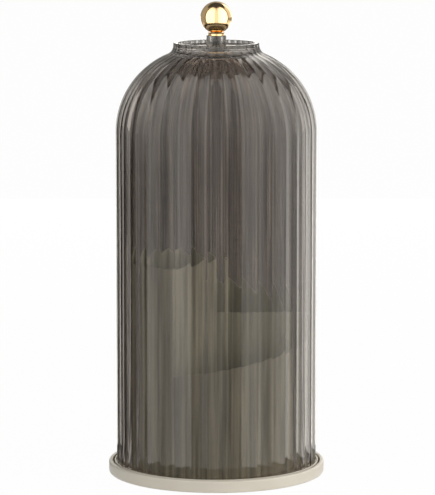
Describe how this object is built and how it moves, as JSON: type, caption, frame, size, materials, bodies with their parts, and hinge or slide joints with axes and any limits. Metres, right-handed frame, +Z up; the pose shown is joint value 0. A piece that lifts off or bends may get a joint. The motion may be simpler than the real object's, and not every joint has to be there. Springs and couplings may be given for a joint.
{
  "type": "domed rotating makeup organizer",
  "caption": "Round organizer with a divided cup on a turntable, under a fluted smoky bell cover that lifts off by a gold ball knob.",
  "frame": {"origin": "centre of the footprint, on the surface that the pads stand on", "axes": "+Z up along the turntable's axis, front (low compartment) towards -Y, +X to the right seen from the front"},
  "size_m": [0.13, 0.13, 0.2852],
  "materials": {
    "cream_plastic": "fine satin, moulded",
    "cup_plastic": "fine satin, moulded",
    "pad_rubber": "matte",
    "roller_plastic": "natural acetal",
    "screw_steel": "zinc plated",
    "smoky_cover": "clear smoky grey, polished",
    "clear_stem": "clear, polished",
    "gold_metal": "polished gold plating"
  },
  "bodies": {
    "base": {"base_housing": "cream_plastic", "foot_pads": "pad_rubber"},
    "roller_ring": {"rollers": "roller_plastic", "roller_carrier": "roller_plastic"},
    "turntable": {"turntable_plate": "cream_plastic", "pivot_washer": "screw_steel", "pivot_screw": "screw_steel", "divided_cup": "cup_plastic"},
    "cover": {"dome_cover": "smoky_cover", "knob_stem": "clear_stem", "knob_collar": "gold_metal", "ball_knob": "gold_metal", "knob_washer": "screw_steel", "knob_screw": "screw_steel"}
  },
  "joints": [
    {"name": "turntable_spin", "type": "hinge", "parent": "base", "child": "turntable", "pos_m": [0, 0, 0.0072], "axis": [0, 0, 1], "continuous": true},
    {"name": "roller_ring_spin", "type": "hinge", "parent": "base", "child": "roller_ring", "pos_m": [0, 0, 0.0039], "axis": [0, 0, 1], "continuous": true},
    {"name": "cover_lift", "type": "slide", "parent": "turntable", "child": "cover", "axis": [0, 0, 1], "range_m": [0, 0.21]}
  ],
  "couplings": [
    {"joint": "roller_ring_spin", "follows": "turntable_spin", "ratio": 0.5}
  ]
}
